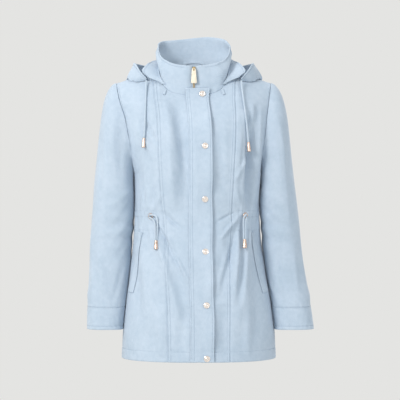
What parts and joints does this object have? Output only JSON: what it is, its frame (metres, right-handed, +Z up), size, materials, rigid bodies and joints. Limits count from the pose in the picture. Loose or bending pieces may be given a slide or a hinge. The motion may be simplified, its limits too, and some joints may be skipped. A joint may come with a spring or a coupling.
{
  "type": "parka",
  "caption": "Women's hip-length parka in pale blue cloth, filled out and empty, with a funnel collar, folded-back hood, snapped storm flap and waist drawcord.",
  "frame": {"origin": "base of the wearer's neck, midway between the front and the back of the neck opening", "axes": "+Z up, -Y towards the front of the garment, +X to the viewer's right when it is seen from the front"},
  "size_m": [0.5731, 0.3103, 0.8158],
  "materials": {
    "shell_cloth": "matte cotton twill",
    "cord": "matte braid",
    "rose_metal": "polished rose metal",
    "zip_teeth": "satin",
    "pale_gold": "polished"
  },
  "bodies": {
    "garment": {"front_centre_left": "shell_cloth", "front_centre_right": "shell_cloth", "front_side_left": "shell_cloth", "front_side_right": "shell_cloth", "back": "shell_cloth", "sleeve_left": "shell_cloth", "sleeve_right": "shell_cloth", "cuff_left": "shell_cloth", "cuff_right": "shell_cloth", "collar": "shell_cloth", "hood": "shell_cloth", "storm_flap": "shell_cloth", "pocket_welt_left": "shell_cloth", "pocket_welt_right": "shell_cloth", "hood_tab_left": "shell_cloth", "hood_tab_right": "shell_cloth", "hanger_loop": "shell_cloth", "hood_cord_left": "cord", "hood_cord_right": "cord", "waist_cord_left_a": "cord", "waist_cord_left_b": "cord", "waist_cord_right_a": "cord", "waist_cord_right_b": "cord", "hood_end_left": "rose_metal", "hood_end_right": "rose_metal", "waist_end_left": "rose_metal", "waist_end_right": "rose_metal", "snap_1": "rose_metal", "snap_2": "rose_metal", "snap_3": "rose_metal", "snap_4": "rose_metal", "snap_5": "rose_metal", "snap_6": "rose_metal", "eyelet_left": "rose_metal", "eyelet_right": "rose_metal", "zip_strip": "zip_teeth", "zip_slider": "pale_gold"},
    "pull_tab": {"pull_tab": "pale_gold"}
  },
  "joints": [
    {"name": "pull_swing", "type": "hinge", "parent": "garment", "child": "pull_tab", "pos_m": [-0.00747, -0.08894, 0.021], "axis": [-1, 0, 0], "range_deg": [0, 150]}
  ]
}
